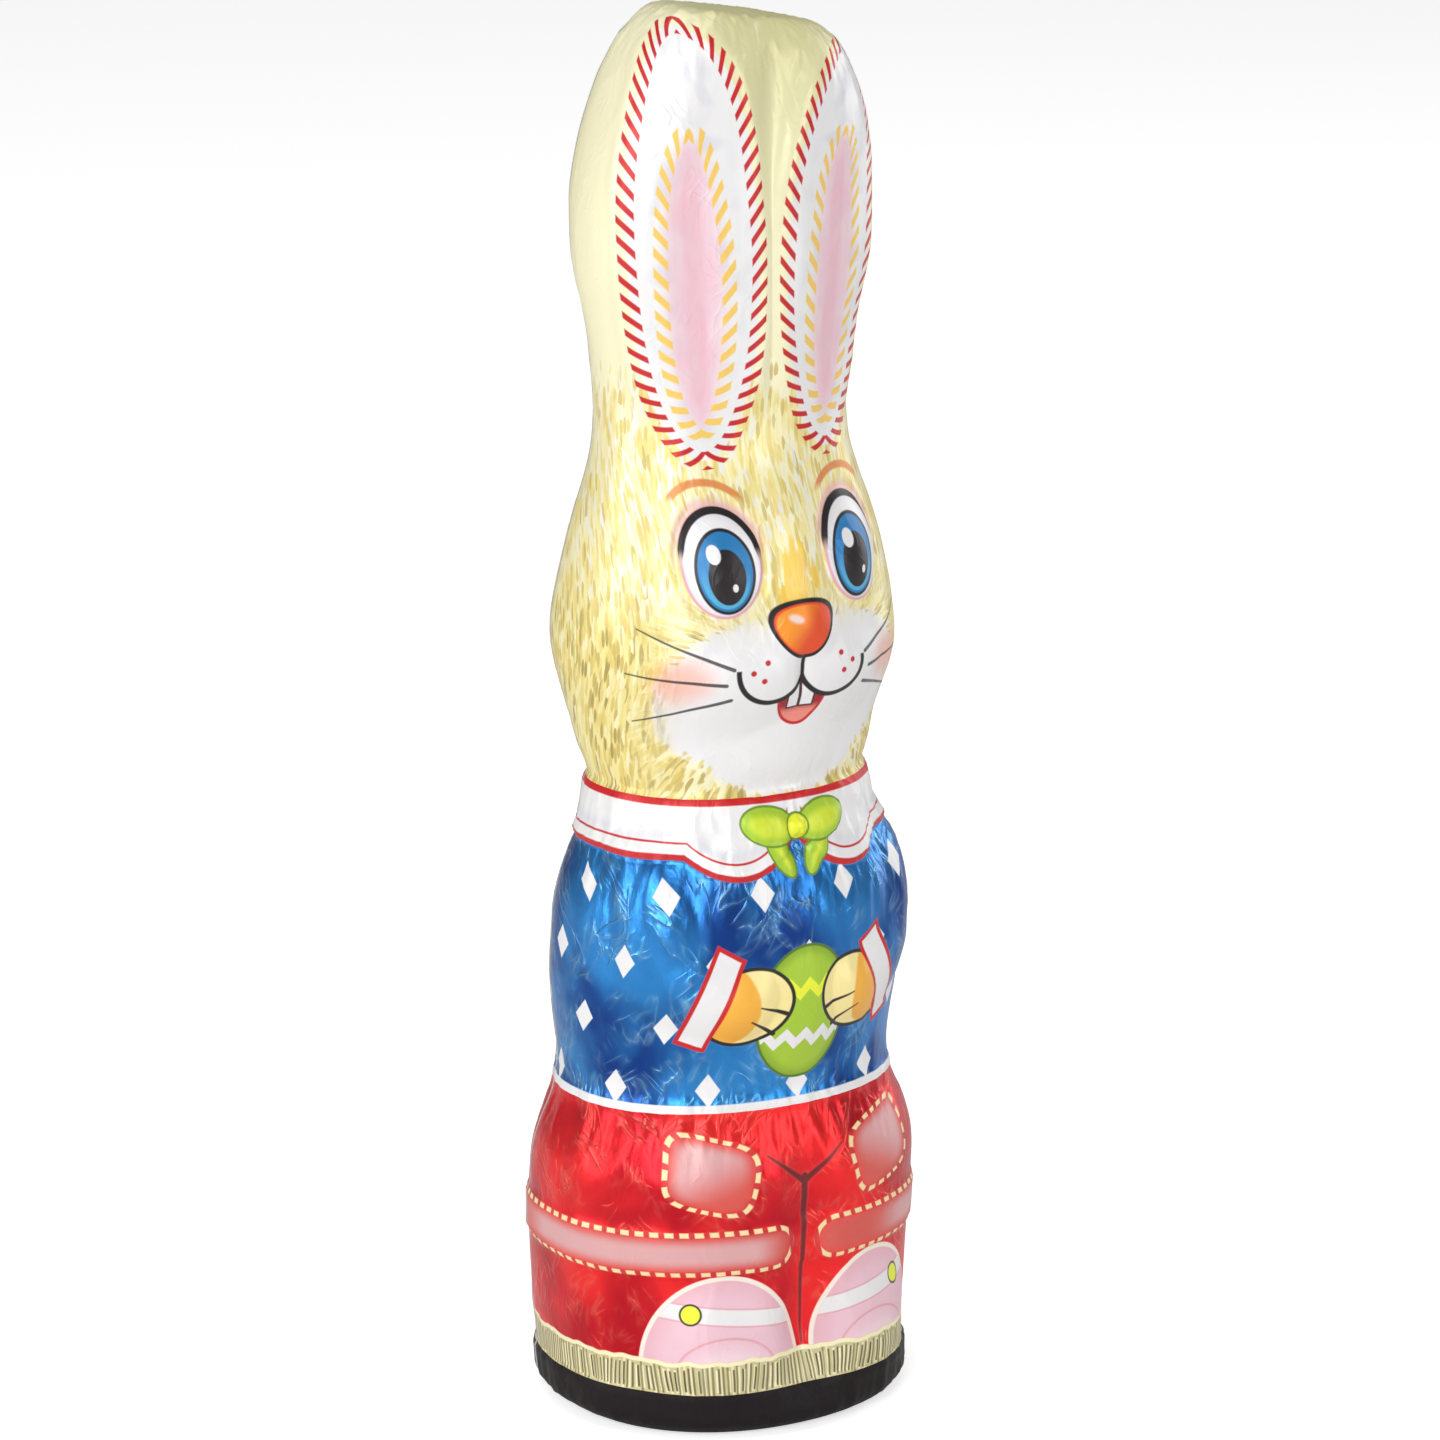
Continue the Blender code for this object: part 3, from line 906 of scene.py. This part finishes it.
def print_arms(foil):
    """Paws with two finger lines each, and straight white cuffs with a red edge."""
    upper_arm = foil.stroke(SHOULDER, ELBOW, *SLEEVE_RADII[:2])
    sleeve = foil.least(upper_arm, foil.stroke(ELBOW, WRIST, *SLEEVE_RADII[1:]))
    paw = foil.rim(PAW)
    foil.fill(PAW_CREAM, paw)
    foil.lay(PAW_ORANGE, foil.inside(foil.most(paw, foil.rim(PAW_SHADE)), 0.2))
    foil.lay(OUTLINE, foil.inside(abs(paw) - 0.24) * foil.inside(foil.side - 13.4))
    for start, end in FINGER_LINES:
        foil.fill(OUTLINE, foil.stroke(start, end, 0.3, 0.1))
    along = (foil.side - CUFF_MIDDLE[0]) * 0.94 + (foil.up - CUFF_MIDDLE[1]) * 0.34
    cuff = foil.most(abs(along) - 1.6, sleeve - 0.5)
    foil.fill(SCARLET, cuff - 0.6)
    foil.fill(WHITE, cuff)


def print_collar(foil):
    """A white collar of two lobes with red lines and painted shade inside its rim, a green bow with
    painted highlights, and the red line at the neck.
    """
    band = foil.most(COLLAR_BAND[1] - foil.up, COLLAR_BAND[0] - foil.side)
    collar = foil.least(foil.rim(COLLAR_LOBE), band)
    foil.fill(WHITE, collar)
    # painted shade: a grey band just inside the collar's rim
    foil.lay(SHADE_WHITE, foil.rise(abs(collar + 2.6), 1.4, 0.0) * foil.inside(collar) * 0.7)
    foil.line(LINE_RED, collar, 0.42)
    foil.lay(LINE_RED, foil.inside(abs(collar + 1.7) - 0.14) * foil.rise(foil.up, 81.6, 80.8))
    for shape, paint in ((BOW_TAIL, LIME), (BOW_LOOP, LIME), (BOW_KNOT, LEMON)):
        rim = foil.rim(shape)
        foil.fill(paint, rim)
        # painted highlight: each bow part is lighter in its middle
        foil.lay(LEMON, foil.rise(rim, -0.5, -1.6) * 0.5)
        foil.line(BOW_GREEN, rim, 0.14)
    foil.fill(WHITE, NECK_LINE - 0.8 - foil.up)
    foil.line(SCARLET, foil.up - NECK_LINE + 0.3, 0.5)


def blue_foil():
    """The top: clear blue ink with small white diamonds, a round collar, cuffs, paws and an egg."""
    foil = Foil("blue_foil", DEEP_BLUE)
    folds = foil_folds(foil)
    plain = lay_clear_ink(foil, folds, BRIGHT_BLUE, WORN_AND_GLINT_BLUE)
    for print_part in (print_diamonds, print_egg, print_arms, print_collar):
        print_part(foil)
    foil.fill(WHITE, foil.up - WAIST_LINE - HEM_WIDTH)
    print_seam(foil)
    return finish_clear_foil(foil, folds, plain, 0.85)


def print_patch(foil, edge, pale_share, along, pitch):
    """Salmon cloth, paler where the pale share says and red towards its edge, with a row of stitches.
    """
    cloth = foil.blend(SALMON, DUSKY_PINK, pale_share * foil.rise(edge, -0.3, -2.4))
    foil.lay(cloth, foil.inside(edge) * (0.35 + foil.rise(edge, 0.0, -1.8) * 0.65))
    row = abs(edge + 0.3)
    foil.lay(DEEP_RED, foil.inside(row - 0.42) * 0.5)
    foil.fill(STITCH_CREAM, foil.most(row - 0.30, abs(foil.repeat(along, pitch)) - pitch * 0.30))


def print_pockets(foil):
    x, y, _ = foil.parts(foil.seen_from(foil.point, POCKET_MIDDLE, math.radians(POCKET_TILT)))
    mean = sum(POCKET_HALF_SIZE) / 2
    corner = (abs(x) / POCKET_HALF_SIZE[0]) ** 4.0 + (abs(y) / POCKET_HALF_SIZE[1]) ** 4.0
    edge = corner**0.25 * mean - mean
    # paler towards the pocket's upper outer corner
    pale_share = foil.rise(x + y * 1.4, -6.5, 3.5)
    along = foil.math("ARCTAN2", y, x) * POCKET_STITCH_RADIUS
    pitch = 2 * math.pi * POCKET_STITCH_RADIUS / POCKET_STITCHES
    print_patch(foil, edge, pale_share, along, pitch)


def print_turn_ups(foil):
    middle, half = sum(TURN_UP) / 2, (TURN_UP[1] - TURN_UP[0]) / 2
    past_end = foil.most(4.6 - abs(foil.placed), 0.0)
    edge = foil.length(foil.join(past_end, foil.up - middle)) - half
    pale_share = foil.rise(foil.noise(foil.join(foil.placed, 5.0), 0.07, 0.0), 0.34, 0.56)
    print_patch(foil, edge, pale_share, foil.placed + (foil.up - middle) * 0.2, 1.9)


def print_leg_lines(foil):
    """Dark lines of painted shade in the groove between the legs and in the folds at the hips."""
    crease = foil.stroke((0, 33.5), (0, 11.0), 0.5, 0.15)
    crease = foil.least(crease, foil.stroke((0.3, 33.0), (5.5, 37.0), 0.45, 0.1))
    # painted shade: dark red down the groove between the legs and in the hip folds
    foil.lay(CREASE_SHADE_RED, foil.rise(crease, 0.25, -0.2) * 0.85)


def print_shoes(foil):
    """Pink strap shoes with a round toe cap and a buckle, painted shade towards their rim and a
    painted highlight on the toe.
    """
    shoe, toe, buckle = foil.rim(SHOE), foil.rim(TOE), foil.rim(BUCKLE)
    foil.fill(SHELL_PINK, shoe)
    # painted shade: darker pink towards the shoe's rim
    foil.lay(ROSE, foil.inside(shoe) * foil.rise(shoe, -3.4, -0.2) * 0.5)
    # painted highlight: paler pink in the middle of the toe cap
    foil.lay(TOE_HIGHLIGHT_PINK, foil.rise(toe, 0.0, -3.0) * 0.8)
    foil.lay(ROSE, foil.inside(abs(toe) - 0.16) * foil.rise(foil.up, 8.0, 10.5))
    strap = foil.most(shoe + 0.3, abs(foil.up - 16.4 - (foil.side - 11.6) * 0.12) - 1.0)
    foil.fill(ROSE, strap - 0.22)
    foil.fill(WHITE, strap)
    foil.fill(LEMON, buckle)
    foil.line(OUTLINE, buckle, 0.13)
    foil.line(SHOE_CREAM, shoe, 0.3)


def print_tail(foil):
    """A round cream tail with a ragged edge of fluff, on the back foil."""
    tail = foil.rim(TAIL, foil.join(foil.placed, foil.up))
    tail = tail + foil.rise(foil.share, 0.8, 0.7) * PAST_ALL
    for width, length, seed in ((1.3, 3.0, 5.0), (0.9, 2.4, 8.0), (0.7, 2.0, 12.0)):
        fluff, tone, reach = brush_strokes(foil, foil.placed, foil.up, width, length, seed)
        shown = foil.rise(tail + reach * 1.8, 1.0, 0.7)
        foil.lay(foil.tones(tone, BROW_TONES), shown * fluff)
        foil.lay(CREAM, foil.rise(tail, -0.2, -0.6) * (1 - fluff) * 0.5)


def print_grass(foil):
    """A fringe of short upright blades along the top of the black band."""
    wavy = (foil.noise(foil.join(foil.placed, 0.0), 0.30, 1.0) - 0.5) * 1.4
    top = foil.up - GRASS_TOP - wavy
    foil.fill(GRASS, top)
    lean = (foil.noise(foil.join(foil.placed, 9.0), 0.16, 1.0) - 0.5) * 1.8
    for pitch, paint in ((0.72, GRASS_CREAM), (0.60, GRASS_DARK)):
        place = foil.placed / pitch + (foil.up - GRASS_TOP) * lean * 0.5
        values = {"W": foil.math("FLOOR", place)}
        chance = foil.node("ShaderNodeTexWhiteNoise", {"noise_dimensions": "1D"}, values)
        across = abs(foil.repeat(place, 1.0) - (chance - 0.5) * 0.4) - 0.22
        blade = foil.most(across, top + 0.45 + chance * 0.8)
        blade = foil.most(blade, BASE_TOP + chance * 0.6 - foil.up)
        foil.lay(paint, foil.inside(blade) * (0.65 + chance * 0.35))
    foil.line(GRASS_CREAM, top + 0.3, 0.28)


def red_foil():
    """The legs: clear red ink, salmon patches and turn-ups with cream stitches, shoes and grass."""
    foil = Foil("red_foil", DEEP_RED)
    folds = foil_folds(foil)
    plain = lay_clear_ink(foil, folds, BRIGHT_RED, WORN_AND_GLINT_RED)
    for print_part in (print_pockets, print_turn_ups, print_leg_lines, print_shoes, print_tail):
        print_part(foil)
    print_grass(foil)
    print_seam(foil)
    return finish_clear_foil(foil, folds, plain, 0.68)


def black_foil():
    """The band round the sole."""
    foil = Foil("black_foil", BLACK)
    foil.lay(SOFT_BLACK, foil.noise(foil.solid, 300.0) * 0.5)
    print_seam(foil)
    return finish_foil(foil, foil_folds(foil), 0.0, 0.45, 0.25, 0.0, 1.25)


def sole_pleats(web, position):
    """Pleats that run in to the middle of the sole, as a height from 0 to 1."""
    x, y, _ = web.parts(position)
    reach = web.length(web.join(x, y)) + 0.0001
    outward = web.join(x / reach, y / reach, reach * 6.0)
    fine = web.crest(web.noise(outward, 16.0, 1.0), 2.0)
    return web.crest(web.noise(outward, 7.0, 1.0), 3.0) * 0.7 + fine * 0.3


def bare_foil():
    """The silver side of the foil, which is gathered under the sole, with painted shade in the
    pleats' hollows and painted highlights on their crests.
    """
    foil = Foil("bare_foil", PLEAT_SHADE_GREY)
    pleats = sole_pleats(foil, foil.solid)
    # painted shade in the pleats' hollows, painted highlight on their crests
    foil.lay(PLEAT_HIGHLIGHT_SILVER, pleats * 1.6)
    return finish_foil(foil, pleats, 0.8, 0.36, 0.5)


def open_geometry(name, inputs):
    """An empty Geometry Nodes tree with named inputs. Returns its web and its input signals."""
    tree = bpy.data.node_groups.new(name, "GeometryNodeTree")
    tree.interface.new_socket("Geometry", in_out="INPUT", socket_type="NodeSocketGeometry")
    for title, kind in inputs.items():
        tree.interface.new_socket(title, in_out="INPUT", socket_type="NodeSocket" + kind)
    tree.interface.new_socket("Geometry", in_out="OUTPUT", socket_type="NodeSocketGeometry")
    web = Web(tree)
    given = web.node("NodeGroupInput", {}, {}, None)
    return web, {output.name: Signal(web, output) for output in given.outputs if output.name}


def apply_geometry(piece, web, values):
    """Runs the tree on a piece, keeps the result as a plain mesh and takes the modifier off."""
    modifier = piece.modifiers.new("shape", "NODES")
    modifier.node_group = web.tree
    for item in web.tree.interface.items_tree:
        if item.in_out == "INPUT" and item.name in values:
            modifier[item.identifier] = values[item.name]
    graph = bpy.context.evaluated_depsgraph_get()
    shaped = piece.evaluated_get(graph)
    mesh = bpy.data.meshes.new_from_object(shaped, preserve_all_data_layers=True, depsgraph=graph)
    piece.modifiers.clear()
    old, piece.data = piece.data, mesh
    bpy.data.meshes.remove(old)
    mesh.name = piece.name


def pressed_creases(web, warped):
    """Creases that meet round cells of two sizes, in patches, as a height."""
    creases = 0.0
    for scale, stretch, weight in ((150.0, 0.40, 1.0), (240.0, 0.55, 0.6)):
        values = {"Vector": web.times(warped, (1, 1, stretch)), "Scale": scale}
        gap = web.node("ShaderNodeTexVoronoi", {"feature": "DISTANCE_TO_EDGE"}, values)
        shown = web.rise(web.noise(warped, scale * 0.5, 1.0), 0.42, 0.62)
        creases = web.rise(gap, 0.15, 0.0) * shown * weight + creases
    return creases


def drawn_gathers(web, position, warped, height):
    """Upright gathers where the foil is drawn in, as a height."""
    broad = web.crest(web.noise(web.times(position, (1, 1, 0.12)), 230.0, 2.0, 0.5), 3.0)
    fine = web.crest(web.noise(web.times(warped, (1, 1, 0.15)), 480.0, 1.0), 3.0)
    drawn_in = web.most(web.rise(height, *CROWN_GATHERS), web.rise(height, *BASE_GATHERS))
    for middle, reach in (NECK_GATHERS, WAIST_GATHERS):
        drawn_in = web.most(drawn_in, web.rise(abs(height - middle), reach, 1.0))
    return (broad - 0.3 + fine * 0.5) * drawn_in


def crinkle_tree():
    """Presses dents, creases and gathers into the foil, pleats its sole and gives it its inks."""
    inputs = dict.fromkeys(("Dent Depth", "Crease Depth", "Gather Depth"), "Float")
    web, given = open_geometry("crinkled_foil", {**inputs, **dict.fromkeys(INK_TOPS, "Material")})
    position = web.node("GeometryNodeInputPosition", {}, {})
    normal = web.node("GeometryNodeInputNormal", {}, {})
    ring_up = {"Name": "ring_up"}
    height = web.node("GeometryNodeInputNamedAttribute", {"data_type": "FLOAT"}, ring_up)
    warp = web.node("ShaderNodeTexNoise", {}, {"Vector": position, "Scale": 120.0}, "Color")
    warped = web.vectors("ADD", position, web.times(warp, (3.5 * MM, 3.5 * MM, 6 * MM)))
    dents = web.noise(web.times(position, (1, 1, 0.7)), 95.0, 2.0, 0.5) - 0.5
    stiff = web.rise(height, NECK_LINE - 2, NECK_LINE + 2) * 0.5
    out = (
        dents * given["Dent Depth"]
        + pressed_creases(web, warped) * given["Crease Depth"] * (1 - stiff)
        + drawn_gathers(web, position, warped, height) * given["Gather Depth"]
    )
    values = {0: normal, "Scale": out * web.rise(height, 0.2, 2.0)}
    offset = web.node("ShaderNodeVectorMath", {"operation": "SCALE"}, values)
    lifted = web.rise(web.parts(position)[2], 0.0, 0.5 * MM)
    under = web.math("LESS_THAN", height, UNDERSIDE_TOP) * lifted
    drop = sole_pleats(web, position) * given["Gather Depth"] * under
    values = {"Geometry": given["Geometry"]}
    values["Offset"] = web.vectors("SUBTRACT", offset, web.join(0.0, 0.0, drop))
    shape = web.node("GeometryNodeSetPosition", {}, values)
    shape = web.node("GeometryNodeRealizeInstances", {}, {"Geometry": shape})
    for title, top in INK_TOPS.items():
        below = web.node("FunctionNodeCompare", {"operation": "LESS_THAN"}, {0: height, 1: top})
        values = {"Geometry": shape, "Selection": below, "Material": given[title]}
        shape = web.node("GeometryNodeSetMaterial", {}, values)
    web.node("NodeGroupOutput", {}, {"Geometry": shape}, None)
    return web


def make_wrap():
    wrap = wrap_skin()
    values = {
        "Dent Depth": DENT_DEPTH * MM,
        "Crease Depth": CREASE_DEPTH * MM,
        "Gather Depth": GATHER_DEPTH * MM,
        "Cream": cream_foil(),
        "Blue": blue_foil(),
        "Red": red_foil(),
        "Black": black_foil(),
        "Bare": bare_foil(),
    }
    apply_geometry(wrap, crinkle_tree(), values)
    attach(wrap, "root")
    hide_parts("foil_bunny")


AIM = Vector((0, 0, 0.09))
FLOOR_REACH = 3.0

# Softbox: place, width and height in metres, and watts
SOFTBOXES = {
    "key": ((-0.85, -0.80, 0.55), 0.5, 0.9, 8.5),
    "left": ((-1.05, 0.20, 0.30), 0.3, 0.9, 4.5),
    "fill": ((0.45, -1.05, 0.35), 0.3, 0.9, 3.4),
    "right": ((1.00, 0.10, 0.30), 0.25, 0.9, 2.6),
    "top": ((0.0, 0.2, 1.3), 0.9, 0.9, 3.6),
}


def make_floor():
    material = bpy.data.materials.new("pale_floor")
    material.use_nodes = True
    shader = material.node_tree.nodes["Principled BSDF"]
    shader.inputs["Base Color"].default_value = FLOOR_WHITE
    shader.inputs["Roughness"].default_value = 0.7
    shader.inputs["Emission Strength"].default_value = 0.6
    seen = material.node_tree.nodes.new("ShaderNodeLightPath").outputs["Is Camera Ray"]
    material.node_tree.links.new(seen, shader.inputs["Emission Color"])
    mesh = bpy.data.meshes.new("floor")
    square = ((-1, -1), (1, -1), (1, 1), (-1, 1))
    corners = [(x * FLOOR_REACH, y * FLOOR_REACH, 0) for x, y in square]
    mesh.from_pydata(corners, [], [(0, 1, 2, 3)])
    mesh.materials.append(material)
    floor = bpy.data.objects.new("floor", mesh)
    bpy.context.scene.collection.objects.link(floor)


def add_softbox(name, place, width, height, power):
    light = bpy.data.lights.new(name, "AREA")
    light.shape, light.size, light.size_y, light.energy = "RECTANGLE", width, height, power
    lamp = bpy.data.objects.new(name, light)
    lamp.location = place
    lamp.rotation_euler = (AIM - Vector(place)).to_track_quat("-Z", "Y").to_euler()
    bpy.context.scene.collection.objects.link(lamp)


def light_studio():
    """Softboxes and a white surround, which the camera sees brighter than the foil does."""
    world = bpy.data.worlds.new("studio")
    world.use_nodes = True
    world.node_tree.nodes.clear()
    web = Web(world.node_tree)
    strength = 0.24 + web.node("ShaderNodeLightPath", {}, {}, "Is Camera Ray") * 0.76
    backdrop = web.node("ShaderNodeBackground", {}, {"Color": (1, 1, 1, 1), "Strength": strength})
    web.node("ShaderNodeOutputWorld", {}, {"Surface": backdrop}, None)
    bpy.context.scene.world = world
    for name, setting in SOFTBOXES.items():
        add_softbox(name, *setting)
    bpy.context.scene.view_settings.view_transform = "Standard"


# The camera, from the outline and the marks measured in the photograph
CAMERA_AZIMUTH = -32.0
CAMERA_DISTANCE = 0.8
CAMERA_HEIGHT = 0.301
PHOTO_PIXELS = 1440
FOCAL_PIXELS = 6510
SENSOR = 36.0
SHIFT_PIXELS = (-2, -9)


def place_camera():
    data = bpy.data.cameras.new("camera")
    data.sensor_width = SENSOR
    data.lens = FOCAL_PIXELS / PHOTO_PIXELS * SENSOR
    data.shift_x, data.shift_y = (pixels / PHOTO_PIXELS for pixels in SHIFT_PIXELS)
    camera = bpy.data.objects.new("camera", data)
    turn = math.radians(CAMERA_AZIMUTH)
    camera.location = (
        CAMERA_DISTANCE * math.sin(turn),
        -CAMERA_DISTANCE * math.cos(turn),
        CAMERA_HEIGHT,
    )
    camera.rotation_euler = (AIM - camera.location).to_track_quat("-Z", "Y").to_euler()
    bpy.context.scene.collection.objects.link(camera)
    bpy.context.scene.camera = camera


def main():
    place_camera()
    make_wrap()
    make_floor()
    light_studio()


main()
